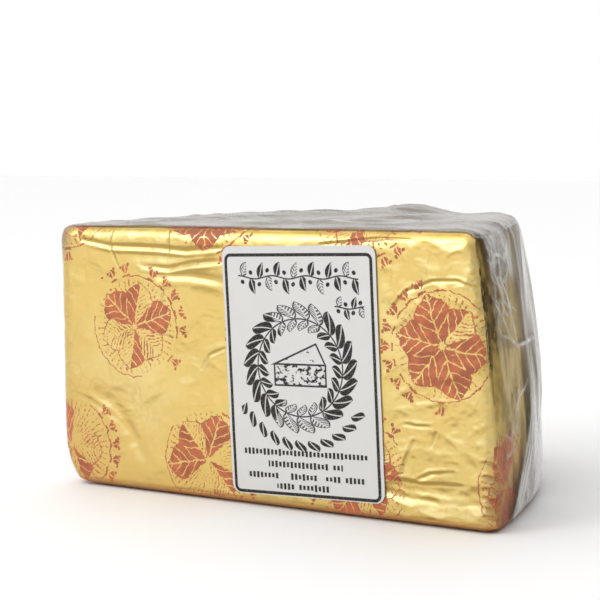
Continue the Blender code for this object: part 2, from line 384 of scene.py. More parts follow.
PATCH_RISE, PATCH_FALL = (44, 6), (66, -5)


def unrolled(points, normals):
    """Each point's place on the ruler, and its height."""
    return np.column_stack((around(points, normals), points[:, 2]))


def crumple(points, weight):
    """The shared dents of foil and film, as a height along the normal."""
    right = ramp(points[:, 0], BUSY_START, BUSY_RISE)
    patches = step(grain(points, BUSY_PATCHES, 6.6) * 1.5 + 0.25)
    busy = np.maximum(right, 0.5 * patches)
    height = grain(points, BROAD_DENTS) * BROAD_DENT_HEIGHT
    for size, seed, calm, added in DENTS:
        height += (ridges(points, size, seed) - 0.5) * (calm + added * busy)
    wall = np.clip(weight["front"] + weight["tip"] + weight["back"], 0, 1)
    height = height * at_least(LOOSE_DENTS, wall) * (1 - LABEL_HOLD * under_label(points))
    return (height * MM - CRUMPLE_DROP * wall) * (1 - weight["base"])


def under_label(points):
    """1 behind the label, which holds the wrapping flat, and 0 elsewhere."""
    across = np.abs(points[:, 0] - (label_low.x + label_high.x) / 2)
    up = np.abs(points[:, 2] - (label_low.z + label_high.z) / 2)
    inside = ramp(across, HELD_HALF_WIDTH, -HELD_RIM) * ramp(up, HELD_HALF_HEIGHT, -HELD_RIM)
    return inside * (points[:, 1] < FRONT_Y + FRONT_DEPTH)


def shows_on_front(face):
    """Whether a face is on the front cut face or its corners, and not behind the label."""
    if face.normal.y > FRONT_FACING:
        return False
    return under_label(np.array([face.calc_center_median()[:]]))[0] < 0.99


def loose_top(points):
    """How loose the top is: nearly tight along its front edge, and slack further in."""
    return at_least(TIGHT_SLACK, ramp(points[:, 1], FRONT_Y, TIGHT_EDGE))


def place(body, points):
    """Moves the vertices to those places."""
    for vertex, point in zip(body.verts, points):
        vertex.co = point


def finished_piece(name, body, points, normals):
    """Makes the object, with the wrapping's ruler and height as its UV map, in metres."""
    mesh = bpy.data.meshes.new(name)
    body.normal_update()
    face_up = np.array([face.normal.z for face in body.faces])
    body.to_mesh(mesh)
    mesh.shade_smooth()
    piece = linked(name, mesh)
    corners = np.zeros(len(mesh.loops), int)
    mesh.loops.foreach_get("vertex_index", corners)
    sizes = np.zeros(len(mesh.polygons), int)
    mesh.polygons.foreach_get("loop_total", sizes)
    up = np.repeat(face_up, sizes)
    level = np.abs(up) > WALL_LIMIT
    point = points[corners]
    deep = point[:, 1] - FRONT_Y
    u = np.where(level, point[:, 0], around(point, normals[corners]))
    v = np.where(level, np.where(up > 0, point[:, 2] + deep, -deep), point[:, 2])
    ruler = mesh.uv_layers.new(name="wrap")
    ruler.data.foreach_set("uv", np.column_stack((u, v)).ravel())
    return piece


def keep(piece, name, values):
    """Stores one number for each vertex, for the materials to read."""
    layer = piece.data.attributes.new(name, "FLOAT", "POINT")
    layer.data.foreach_set("value", values.astype(np.float32))


def make_foil():
    """The foil: dents, drawn folds and pleats, all moved in by the gap under the film."""
    body = base_shape(FOIL_CELL, 5)
    cut_finer(body, shows_on_front)
    cut_finer(body, shows_on_front)
    points, normals = read(body)
    weight = sides(normals)
    gap = FILM_GAP + weight["top"] * loose_top(points) * (TOP_GAP - FILM_GAP)
    gap += weight["rind"] * (RIND_GAP - FILM_GAP)
    gap += weight["back"] * (BACK_GAP - FILM_GAP) + weight["base"] * (BASE_GAP - FILM_GAP)
    flat = unrolled(points, normals)
    upright = (1 - weight["top"]) * (1 - weight["base"]) * (1 - under_label(points))
    folds = named_folds(flat) * upright
    pleats = (ridges(points, RIND_PLEATS, 6.1) - 1) * RIND_PLEAT_DEPTH * weight["rind"]
    shift = crumple(points, weight) + folds + broad_hollows(flat) * upright + pleats - gap
    place(body, points + shift[:, None] * normals)
    bent = read(body)[1]
    foil = finished_piece("foil_wrap", body, points, normals)
    # Masks for the foil's painted light: fold depth for shade in the folds, the crumple's turn up or
    # down for a highlight and shade, the rind's weight and the corner's band for shade.
    keep(foil, "fold", np.clip(-folds / DEEP_FOLD, 0, 1))
    keep(foil, "tilt", np.clip(0.5 + (bent[:, 2] - normals[:, 2]) * TILT_GAIN, 0, 1))
    keep(foil, "rind", weight["rind"])
    keep(foil, "corner", corner_shade(flat))
    body.free()
    return foil


def corner_shade(flat):
    """Painted shade on the corner by the rind: a dull band and a line, and a dark patch beside them."""
    along, up = flat.T / MM
    middle = BAND_PLACE - BAND_DRIFT * ramp(up, *DRIFT_RISE)
    band = bell(along, middle, BAND_WIDTH) * ramp(up, *BAND_RISE)
    line = bell(along, LINE_PLACE, LINE_WIDTH) * ramp(up, *LINE_RISE)
    patch = bell(along, PATCH_PLACE, PATCH_WIDTH) * ramp(up, *PATCH_RISE) * ramp(up, *PATCH_FALL)
    return np.clip(np.maximum(band, patch) + line * LINE_SHARE, 0, 1)


foil = make_foil()
print("foil:", len(foil.data.polygons), "faces")

# %% [markdown]
# ## The film
#
# Stretch film is smooth where it is tight. Over the top and round the rind it is slack and gathers
# into long sharp ridges, all running the way it was pulled: along the top, over the edge and down
# the rind. Noise that is stretched along x and z, and fine along y, does just that on its own.

# %% Sculpt the film
FILM_CELL = 1.16 * MM
TOP_PULL = ((26, 10, 34), (15, 5.5, 22))  # lumps of the long and of the fine ridges, in mm
RIND_PULL = ((26, 17, 38), (16, 8, 26))
LONG_SHARE, FINE_SHARE, RIDGE_SUM = 0.7, 0.3, 0.85
LOWEST_RIDGE = 0.35
DRIFT_SIZE, DRIFT = (26, 22, 26), 6 * MM
CALM_SIZE = (24, 14, 30)
SLACK = 0.85 * MM
SLANT_TOP, SLANT = 30 * MM, 24 * MM
CLEAR_END, CLEAR_END_AT_FOOT = 12.0, 3.5  # in degrees, where the clear window by the corner ends
FOOT_HEIGHT = 27
WINDOW_EDGE, HIGH_BUNCH = 4, 0.7
HIGH_RISE, HIGH_START = (62, 12), (1, 3)  # the film gathers above the window too
CLOUD_SIZE = (30, 16, 30)
THINNEST = 0.35  # the milk that is left between the clouds
RIND_MILK, BACK_MILK, TOP_MILKINESS, TIP_MILK = 0.75, 0.14, 0.80, 0.20
TIP_FOLD_X, TIP_FOLD_Z = (-61 * MM, -10 * MM), (64 * MM, 12 * MM)  # doubled film: start and rise
LEVEL_START, LEVEL_RISE = 0.90, 0.09  # how far up the normals of the flat top point
BACK_SLACK = 0.35
TIGHT_FOLDS, TIGHT_HOLLOWS = 0.5, 0.7  # the foil's folds, as the tight film shows them
WINDOW_TIGHTNESS = 0.55
TIGHT_GAP, TIGHT_TOP = 0.05 * MM, 0.1 * MM
FULL_STRAND = 0.45 * MM
STRANDS = (
    (((80.5, 52), (88, 50.5), (96, 47.5), (110, 46.5), (128, 46)), 0.55, 0.45),
    (((78, 79), (80, 73), (79, 68), (82, 63)), 0.42, 0.34),
    (((84, 79), (88, 72), (86, 66), (91, 60), (99, 56)), 0.46, 0.36),
    (((79, 70), (86, 73), (93, 71), (100, 74)), 0.40, 0.32),
    (((78.5, 62), (82, 60), (80, 54), (84, 48)), 0.40, 0.34),
    (((83, 51), (84, 42), (83, 33), (85, 26)), 0.36, 0.34),
    (((79, 26), (83, 24), (88, 27), (92, 26)), 0.36, 0.34),
    (((80.6, 54), (80.2, 46), (80.8, 36)), 0.40, 0.40),
    (((82, 24), (87, 30), (95, 34), (106, 37)), 0.50, 0.45),
    (((80, 70), (86, 63), (84, 56), (89, 50)), 0.50, 0.45),
    (((83, 76), (82, 67), (87, 60), (94, 57)), 0.45, 0.45),
    (((90, 74), (86, 66), (92, 58), (98, 44)), 0.50, 0.50),
    (((78.5, 72), (81, 66), (79.5, 60), (83, 57), (81, 52)), 0.40, 0.32),
    (((79, 64), (84, 67), (90, 65), (97, 69)), 0.40, 0.32),
    (((78.6, 58), (83, 61), (88, 56), (95, 60)), 0.36, 0.32),
    (((86, 45), (85, 38), (89, 31), (87, 24)), 0.36, 0.35),
    (((92, 62), (90, 50), (93, 40)), 0.36, 0.35),
    (((79, 20), (84, 21), (90, 26), (97, 40)), 0.40, 0.45),
    (((84, 2), (92, 10), (101, 20), (108, 32)), 0.60, 0.60),
    (((88, 2), (97, 11), (106, 23), (112, 40)), 0.60, 0.60),
    (((95, 3), (104, 14), (113, 28), (118, 48)), 0.55, 0.60),
)


def swayed(points):
    """The places where the film's pull lines were before they drifted, and slanted at the foot."""
    drift = grain(points, DRIFT_SIZE, 5.5)
    slant = SLANT * (1 - step(points[:, 2] / SLANT_TOP)) * (points[:, 0] > 0)
    return points + np.column_stack((0 * drift, DRIFT * drift + slant, 0 * drift))


def gathered(places, pull, calm):
    """Long ridges with fine ones between, from low in the hollows to 1 at the crests."""
    long = LONG_SHARE * ridges(places, pull[0], 1.3) ** 1.5
    fine = FINE_SHARE * ridges(places, pull[1], 8.2) ** 1.6 * calm
    return at_least(LOWEST_RIDGE, (long + fine) / RIDGE_SUM)


def wrinkles(points, on_rind):
    """The film's ridges: close together over the top, and wider apart on the rind."""
    places = swayed(points)
    calm = step(grain(points, CALM_SIZE, 2.9) * 1.6 + 0.5)
    top = gathered(places, TOP_PULL, calm)
    return top + (gathered(places, RIND_PULL, calm) - top) * on_rind


def bunching(points):
    """How much the film of the rind is gathered: 0 in the clear window by the corner, 1 round it."""
    bearing = np.degrees(polar(points)[1])
    up = points[:, 2] / MM
    edge = CLEAR_END_AT_FOOT + (CLEAR_END - CLEAR_END_AT_FOOT) * step(up / FOOT_HEIGHT)
    high = ramp(up, *HIGH_RISE) * ramp(bearing, *HIGH_START)
    return np.maximum(ramp(bearing, edge, WINDOW_EDGE), HIGH_BUNCH * high)


def milkiness(points, weight, level):
    """How thick and cloudy the film lies, from 0 to 1."""
    clouds = step(grain(points, CLOUD_SIZE, 7.7) + 0.6)
    rind = 0.01 + RIND_MILK * bunching(points) * at_least(THINNEST, clouds)
    tip = ramp(points[:, 0], *TIP_FOLD_X) * ramp(points[:, 2], *TIP_FOLD_Z)
    walls = weight["rind"] * rind + BACK_MILK * weight["back"] + TIP_MILK * tip
    return np.clip(level * TOP_MILKINESS + walls, 0, 1)


def make_film():
    """The film: slack and ridged on the top and the rind, and tight on the foil elsewhere."""
    body = base_shape(FILM_CELL, 8)
    cut_finer(body, lambda face: face.normal.z > 0.5 or face.normal.dot(Vector(RIND_NORMAL)) > 0.55)
    points, normals = read(body)
    weight = sides(normals)
    toward_rind = np.clip(normals @ np.array(RIND_NORMAL), 0, 0.4)
    level = ramp(normals[:, 2] + toward_rind, LEVEL_START, LEVEL_RISE)
    loose = weight["top"] * loose_top(points)
    slack = np.clip(loose + weight["rind"] + BACK_SLACK * weight["back"], 0, 1)
    flat = unrolled(points, normals)
    height = wrinkles(points, weight["rind"])
    strands = np.zeros(len(points))
    for line, rise, width in STRANDS:
        strands = np.maximum(strands, -drawn(flat, line, rise, width, lip=0))
    strands *= weight["rind"]
    folds = named_folds(flat) * TIGHT_FOLDS + broad_hollows(flat) * TIGHT_HOLLOWS
    folds *= weight["front"] * (1 - weight["top"]) * (1 - weight["base"]) * (1 - under_label(points))
    tight = crumple(points, weight) * (1 - slack) + folds
    depth = SLACK * (1 - weight["rind"] * WINDOW_TIGHTNESS * (1 - bunching(points)))
    shift = np.minimum(tight - TIGHT_GAP, TIGHT_TOP) * (1 - slack) - depth * (1 - height) * slack
    shift = (shift + strands) * (1 - weight["base"])
    place(body, np.clip(points + shift[:, None] * normals, wedge_low, wedge_high))
    film = finished_piece("cling_film", body, points, normals)
    keep(film, "milk", milkiness(points, weight, level))
    keep(film, "crest", height * slack)
    keep(film, "level", level)
    keep(film, "strand", np.clip(strands / FULL_STRAND, 0, 1))
    body.free()
    return film


film = make_film()
print("film:", len(film.data.polygons), "faces")

# %% [markdown]
# ## The sticker
#
# It is paper, so it stays flat over the small dents and only follows the broad form of the face. A
# flat rectangle gets its rounded corners by a bevel and is cut into small cells. A ray from each
# vertex then lays it against the film, and last comes its thickness.

# %% Cut and lay the sticker
STICKER_SIDES = (49 * MM, 70 * MM)
STICKER_SHIFT = -0.5 * MM
STICKER_CORNER = 2.6 * MM
STICKER_THICKNESS = 0.22 * MM
STICKER_CELL = 2.5 * MM
STICKER_LIFT = 0.06 * MM
STICKER_TURN = math.radians(2.0)
RAY_START = 20 * MM
SHARP = math.radians(40)


def square_sheet():
    """A flat square of one face, one metre wide."""
    body = bmesh.new()
    bmesh.ops.create_grid(body, x_segments=1, y_segments=1, size=0.5)
    return body


def cut_cells(body, axis, side):
    """Cuts a flat sheet into strips across one axis."""
    plane = Vector([float(axis == n) for n in range(3)])
    for count in range(1, round(side / STICKER_CELL)):
        everything = body.verts[:] + body.edges[:] + body.faces[:]
        place = (count * STICKER_CELL - side / 2) * plane
        bmesh.ops.bisect_plane(body, geom=everything, plane_co=place, plane_no=plane)


def lay(body, film):
    """Stands the sheet up in front of the film, and lays it on."""
    stand = Matrix.Rotation(math.pi / 2, 3, "X")
    turn = Matrix.Rotation(-STICKER_TURN, 3, "Y")
    bmesh.ops.rotate(body, verts=body.verts, cent=(0, 0, 0), matrix=turn @ stand)
    centre = (label_low + label_high) / 2 + Vector((STICKER_SHIFT, 0, 0))
    bmesh.ops.translate(body, verts=body.verts, vec=centre)
    surface = BVHTree.FromPolygons(
        [v.co[:] for v in film.data.vertices], [p.vertices[:] for p in film.data.polygons]
    )
    for vertex in body.verts:
        start = Vector((vertex.co.x, FRONT_Y - RAY_START, vertex.co.z))
        hit = surface.ray_cast(start, Vector((0, 1, 0)))[0]
        vertex.co.y = hit.y - STICKER_LIFT
    inner = [v for v in body.verts if not v.is_boundary]
    for _ in range(3):
        bmesh.ops.smooth_vert(body, verts=inner, factor=0.5, use_axis_y=True)


def make_sticker(film):
    """A sheet of paper with rounded corners, laid on the film."""
    body = square_sheet()
    bmesh.ops.scale(body, verts=body.verts, vec=(*STICKER_SIDES, 1))
    bmesh.ops.bevel(
        body, geom=body.verts, offset=STICKER_CORNER, affect="VERTICES",
        segments=6, profile=0.5, material=-1,
    )
    for axis, side in enumerate(STICKER_SIDES):
        cut_cells(body, axis, side)
    ruler = body.loops.layers.uv.new("sheet")
    for face in body.faces:
        for loop in face.loops:
            loop[ruler].uv = loop.vert.co.xy
    lay(body, film)
    bmesh.ops.solidify(body, geom=body.faces[:], thickness=-STICKER_THICKNESS)
    body.normal_update()
    bmesh.ops.recalc_face_normals(body, faces=body.faces)
    mesh = bpy.data.meshes.new("paper_sticker")
    body.to_mesh(mesh)
    body.free()
    mesh.shade_smooth()
    mesh.set_sharp_from_angle(angle=SHARP)
    return linked("paper_sticker", mesh)


sticker = make_sticker(film)
depths = [v.co.y / MM for v in sticker.data.vertices]
print("sticker from", round(min(depths), 2), "to", round(max(depths), 2), "mm in y")

# %% [markdown]
# ## Shader maths that reads like maths
#
# A pattern is a formula over the surface. Wiring it by hand takes dozens of Math nodes. A small
# class wraps one output socket and gives it the arithmetic signs, so a formula is written once, as
# Python, and adds its own nodes. A second class is the material itself, with one method for any
# other node.

# %% Sockets with arithmetic
class Signal:
    """One output socket of a finish, with the arithmetic signs that formulas need."""

    def __init__(self, finish, socket):
        self.finish = finish
        self.socket = socket

    def math(self, operation, *operands):
        return self.finish.add("ShaderNodeMath", {"operation": operation}, dict(enumerate(operands)))

    def edge(self, softness):
        """0 below zero and 1 above, with a soft edge of that width."""
        settings = {"operation": "MULTIPLY_ADD", "use_clamp": True}
        return self.finish.add("ShaderNodeMath", settings, {0: self, 1: 1 / softness, 2: 0.5})

    def between(self, low, high):
        """A smooth step from 0 at low to 1 at high."""
        inputs = {"Value": self, "From Min": low, "From Max": high}
        return self.finish.add("ShaderNodeMapRange", {"interpolation_type": "SMOOTHSTEP"}, inputs)


OPERATIONS = {
    "__add__": "ADD", "__sub__": "SUBTRACT", "__mul__": "MULTIPLY", "__truediv__": "DIVIDE",
    "__pow__": "POWER", "__mod__": "FLOORED_MODULO", "__gt__": "GREATER_THAN", "__lt__": "LESS_THAN",
    "__abs__": "ABSOLUTE", "least": "MINIMUM", "most": "MAXIMUM",
    "floor": "FLOOR", "sine": "SINE", "cosine": "COSINE",
}
SWAPPED = {"__radd__": "ADD", "__rsub__": "SUBTRACT", "__rmul__": "MULTIPLY"}


def math_method(operation, order):
    """A method that adds a Math node for the signal and any number beside it."""
    return lambda signal, *others: signal.math(operation, *(signal, *others)[::order])


for order, table in ((1, OPERATIONS), (-1, SWAPPED)):
    for sign, operation in table.items():
        setattr(Signal, sign, math_method(operation, order))


class Finish:
    """A material under construction."""

    def __init__(self, name):
        self.material = bpy.data.materials.new(name)
        self.material.use_nodes = True
        self.tree = self.material.node_tree
        self.tree.nodes.clear()

    def add(self, kind, settings=None, inputs=None, output=0):
        """Adds any node: its settings first, then the values or links of its inputs."""
        node = self.tree.nodes.new(kind)
        for name, value in (settings or {}).items():
            setattr(node, name, value)
        for name, value in (inputs or {}).items():
            if isinstance(value, Signal):
                self.tree.links.new(value.socket, node.inputs[name])
            else:
                node.inputs[name].default_value = value
        return Signal(self, node.outputs[output]) if len(node.outputs) else node

    def parts(self, vector):
        """The x, y and z of a vector."""
        x = self.add("ShaderNodeSeparateXYZ", inputs={0: vector})
        return x, *(Signal(self, x.socket.node.outputs[n]) for n in (1, 2))

    def vector(self, x, y, z=0.0):
        return self.add("ShaderNodeCombineXYZ", inputs={0: x, 1: y, 2: z})

    def uv(self, name):
        x, y, _ = self.parts(self.add("ShaderNodeUVMap", {"uv_map": name}))
        return x, y

    def place(self):
        return self.add("ShaderNodeTexCoord", output="Object")

    def stored(self, name):
        """A number stored on the mesh."""
        return self.add("ShaderNodeAttribute", {"attribute_name": name}, output="Fac")

    def stretched(self, vector, size):
        """The vector in units of size, so that noise has lumps that big: in mm, one number or three."""
        sizes = size if isinstance(size, tuple) else (size,) * 3
        inputs = {0: vector, 1: [side * MM for side in sizes]}
        return self.add("ShaderNodeVectorMath", {"operation": "DIVIDE"}, inputs)

    def noise(self, vector, size, detail=2.0, roughness=0.5, distortion=0.0, output=0):
        """Smooth noise from 0 to 1. Its output 1 is noise in all three directions."""
        inputs = {"Vector": self.stretched(vector, size), "Scale": 1.0, "Detail": detail}
        inputs.update({"Roughness": roughness, "Distortion": distortion})
        return self.add("ShaderNodeTexNoise", {}, inputs, output)

    def swayed(self, vector, size, reach):
        """The vector moved about by noise in all three directions, by up to reach."""
        inputs = {0: self.noise(vector, size, output=1), 1: (reach,) * 3, 2: vector}
        return self.add("ShaderNodeVectorMath", {"operation": "MULTIPLY_ADD"}, inputs)

    def facets(self, vector, size):
        """The distance to the edges of irregular cells: a roof over each, with sharp creases between."""
        inputs = {"Vector": self.stretched(vector, size), "Scale": 1.0}
        return self.add("ShaderNodeTexVoronoi", {"feature": "DISTANCE_TO_EDGE"}, inputs)

    def chance(self, x, y, z=0.0):
        """A random number from 0 to 1 for each set of whole numbers."""
        return self.add("ShaderNodeTexWhiteNoise", {}, {"Vector": self.vector(x, y, z)})

    def mix(self, share, first, second):
        """One colour turning into another as share goes from 0 to 1."""
        inputs = {0: share, 6: first, 7: second}
        return self.add("ShaderNodeMix", {"data_type": "RGBA"}, inputs, output=2)

    def bump(self, height, distance, strength):
        inputs = {"Height": height, "Distance": distance, "Strength": strength}
        return self.add("ShaderNodeBump", {}, inputs)

    def surface(self, colour, roughness, others=None):
        inputs = {"Base Color": colour, "Roughness": roughness, **(others or {})}
        return self.add("ShaderNodeBsdfPrincipled", {}, inputs)

    def show(self, shader):
        self.add("ShaderNodeOutputMaterial", {}, {"Surface": shader})
        return self.material


def distance(a, b):
    """How far a point is from the middle, where a and b are 0."""
    return (a * a + b * b) ** 0.5


def dress(piece, material):
    """Gives the piece its finish."""
    piece.data.materials.append(material)
    print(material.name + ":", len(material.node_tree.nodes), "nodes")


# %% [markdown]
# ## The print on the foil
#
# The real foil is printed in brick red, all over, with patches as wide as a thumb. This pattern is
# a plain woodcut of leaves: rosettes set like bricks in a wall, each turned another way, some of
# their leaves solid, some hatched and some with rays only. Polar coordinates round each middle make
# one leaf formula serve all the leaves.

# %% Rosettes of leaves
FULL_TURN = 2 * math.pi
CELL_WIDTH = 50 * MM
CELL_HEIGHT = 37 * MM
ROSETTE_U, ROSETTE_V = 57 * MM, 49 * MM  # the middle of the rosette right of the sticker
LEAVES = 6
LEAF_START = 1.0 * MM
LEAF_END, SHORTEST = 14.8 * MM, 0.80
LEAF_HALF_WIDTH = 5.6 * MM
LEAF_LINE = 0.26 * MM
SOLID_ABOVE, HALF_SOLID_ABOVE, BARE_BELOW = 0.52, 0.20, 0.07
HATCH_PITCH, HATCH_TONE = 1.3 * MM, 0.62
VEIN_PITCH, VEIN_SLANT = 2.9 * MM, 0.9
MIDDLE_VEIN = 0.18 * MM
RAYS, RAY_START_RADIUS, RAY_TONE = 46, 4.5 * MM, 0.55
DISC_RADIUS = 13.9 * MM
INK_EDGE = 0.22 * MM


def leaf_shape(along, side, start, end, half_width):
    """The distance inside a pointed leaf that runs from start to end."""
    waist = (along - (start + end) * 0.5) / ((end - start) * 0.5)
    return half_width * (1 - waist * waist) - abs(side)


def rosette_cells(paint, u, v):
    """Where a point is in its rosette: radius and angle, with two whole numbers that name it."""
    up = (v - ROSETTE_V) / CELL_HEIGHT + 0.5
    row = up.floor()
    across = (u - ROSETTE_U) / CELL_WIDTH + (row % 2) * 0.5 + 0.5
    column = across.floor()
    a = (across - column - 0.5) * CELL_WIDTH
    b = (up - row - 0.5) * CELL_HEIGHT
    luck = paint.chance(column, row)
    angle = b.math("ARCTAN2", b, a) + luck * FULL_TURN
    return distance(a, b), angle, luck, (column, row)


def leaves_tone(paint, radius, angle, name):
    """The tone of the leaves and of the rays between them: 1 for solid ink, less for hatching."""
    share = angle * (LEAVES / FULL_TURN)
    leaf = share.floor()
    off = (share - leaf - 0.5) * (FULL_TURN / LEAVES)
    along = radius * off.cosine()
    side = radius * off.sine()
    kind = paint.chance(*name, leaf % LEAVES)
    reach = LEAF_END * at_least(SHORTEST, kind)
    inside = leaf_shape(along, side, LEAF_START, reach, LEAF_HALF_WIDTH)
    shown = kind > BARE_BELOW
    body = inside.edge(INK_EDGE) * shown
    line = (LEAF_LINE - abs(inside)).edge(INK_EDGE) * shown
    slanted = along - abs(side) * VEIN_SLANT
    side_veins = (0.93 - (slanted * (FULL_TURN / VEIN_PITCH)).sine()).edge(0.12)
    gaps = (abs(side) - MIDDLE_VEIN).edge(INK_EDGE) * side_veins
    hatch = (slanted * (FULL_TURN / HATCH_PITCH)).sine().edge(0.9)
    half = (side * (1 / MM)).edge(0.6) * (kind > HALF_SOLID_ABOVE)
    fill = (hatch * HATCH_TONE).most(half).most(kind > SOLID_ABOVE) * gaps
    rays = ((angle * RAYS).sine() - 0.35).edge(0.5) * (DISC_RADIUS - radius).edge(INK_EDGE)
    rays = rays * (radius - RAY_START_RADIUS).edge(INK_EDGE) * (1 - body) * RAY_TONE
    return (body * fill).most(line).most(rays)


# %% [markdown]
# ### Marks beside the rosettes
#
# Rows of small marks, as large as a fingernail's white, make the print look busy at its real
# scale. Each is a bud: a lozenge with a slit, on a short foot between two dots. They sit on an arc
# round part of each rosette, with a gap after every fifth.

# %% Arcs of buds, and the whole print
MARKS = 21
MARK_RADIUS = 16.8 * MM
MARK_HALF_LENGTH = 1.95 * MM
MARK_HALF_WIDTH = 1.35 * MM
MARK_GAP = 6
SLIT, FOOT_HALF = 0.16 * MM, 0.26 * MM
BUD_PLACE, BUD_SHARE, FOOT_SHARE = 0.3 * MM, 0.85, 0.86
DOT_PLACE, DOT_RADIUS = 1.2 * MM, 0.5 * MM
RING_GAP, RING_HALF, RING_TONE = 0.9 * MM, 0.18 * MM, 0.9
SWAY_SIZES, SWAY_REACH = (3.4, 2.9), 2.6 * MM
INK_GAIN, INK_START, GRIT_GAIN, PATCH_GAIN = 0.46, 0.18, 0.90, 0.35
BARE_FROM, BARE_TO, BARE_ABOVE = 76 * MM, 127 * MM, 30.5 * MM  # part of the rind has no print


def bud_marks(angle, radius, luck):
    """The ink of the arc of buds."""
    place = angle * (MARKS / FULL_TURN)
    mark = place.floor()
    side = (place - mark - 0.5) * (FULL_TURN / MARKS * MARK_RADIUS)
    up = radius - MARK_RADIUS
    off = abs(side)
    bud = 1 - off / MARK_HALF_WIDTH - abs(up - BUD_PLACE) / (MARK_HALF_LENGTH * BUD_SHARE)
    bud = bud.edge(0.25) * (off - SLIT).edge(INK_EDGE)
    foot = (FOOT_HALF - abs(up + MARK_HALF_LENGTH * FOOT_SHARE)).edge(INK_EDGE)
    foot = foot * (MARK_HALF_WIDTH - off).edge(INK_EDGE)
    dots = (DOT_RADIUS - distance(off - MARK_HALF_WIDTH, up - DOT_PLACE)).edge(INK_EDGE)
    in_arc = (angle + luck * 9).cosine() > 0.05
    return bud.most(foot).most(dots) * in_arc * ((mark % MARK_GAP) > 0.5)


def leaf_print(paint):
    """How much ink lies on the foil, from 0 to 1."""
    u, v = paint.uv("wrap")
    flat = paint.vector(u, v)
    sway_u, sway_v = (paint.noise(flat, size, 5.0, 0.68) - 0.5 for size in SWAY_SIZES)
    u = u + sway_u * SWAY_REACH
    v = v + sway_v * SWAY_REACH
    radius, angle, luck, name = rosette_cells(paint, u, v)
    tone = leaves_tone(paint, radius, angle, name)
    ring = (RING_HALF - abs(radius - DISC_RADIUS - RING_GAP)).edge(INK_EDGE)
    ring = ring * ((angle * 2 + luck * 5).sine() > -0.3)
    tone = tone.most(ring * RING_TONE).most(bud_marks(angle, radius, luck))
    grit = paint.noise(flat, 0.8, 3.0, 0.65)
    patch = paint.noise(flat, 7)
    ink = (tone * INK_GAIN + INK_START - grit * GRIT_GAIN + (patch - 0.5) * PATCH_GAIN).edge(0.10)
    return ink * ((u < BARE_FROM) + (u > BARE_TO) + (v < BARE_ABOVE)).least(1.0)


# %% [markdown]
# ## The foil's finish
#
# Gold foil is a tinted metal: what it reflects, it reflects in yellow. It isn't a mirror, so its
# roughness is middling. Its colour holds painted light: a painted highlight where the crumple turns
# up, and painted olive shade in the folds and creases, where it turns down, on the rind, along the
# foot and on the corner by the rind. The ink covers the metal with a brick red that has painted
# shade where the crumple turns down.

# %% Printed gold foil
GOLD = (0.77, 0.565, 0.185, 1)
# The pale gold is both a random paler tone and a painted highlight. The next six colours are painted
# shade.
PALE_GOLD_AND_HIGHLIGHT = (0.90, 0.750, 0.350, 1)
OLIVE_SHADE = (0.42, 0.275, 0.065, 1)
SHADED_SIDE_GOLD = (0.58, 0.410, 0.085, 1)
SIDE_SHADE = (0.36, 0.245, 0.062, 1)
WARM_SHADE_GOLD = (0.52, 0.270, 0.085, 1)
FOOT_SHADE_GOLD = (0.46, 0.220, 0.060, 1)
CORNER_SHADE_BROWN = (0.10, 0.055, 0.020, 1)
BRICK = (0.56, 0.135, 0.050, 1)
BRICK_DARK_AND_SHADED = (0.38, 0.080, 0.034, 1)
FOOT_LOW, FOOT_HIGH = 1.2 * MM, 3.36 * MM
CREASE_WIDTH, CREASE_SHADE, FOLD_SHADE, SHADE_SHARE = 0.03, 0.20, 0.85, 0.8
FACETS, SMALL_FACETS = 7.5, 3.1  # in mm, as are the next two
PLEAT_SIZE, SHADE_STREAK_SIZE = (3.4, 3.4, 15), (1.4, 1.4, 5)
TIP_FOOT_X, TIP_FOOT_Z, TIP_WARM_SHADE = (-78 * MM, -12 * MM), (4 * MM, 62 * MM), 0.30
CORNER_FOOT_X, CORNER_FOOT_Z, CORNER_WARM_SHADE = (66 * MM, 73 * MM), (6 * MM, 26 * MM), 0.8
LEAST_STREAKED, LEAST_FACETED = 0.25, 0.35
SMALL_SHARE, FINE_RELIEF = 0.40, 0.10
RELIEF_DEPTH, RELIEF_STRENGTH = 0.5 * MM, 0.45
INK_COVER = 0.96
FOIL_METALLIC, INK_METALLIC_LOSS = 0.95, 0.88
FOIL_ROUGHNESS, INK_ROUGHNESS_GAIN = 0.38, 0.14


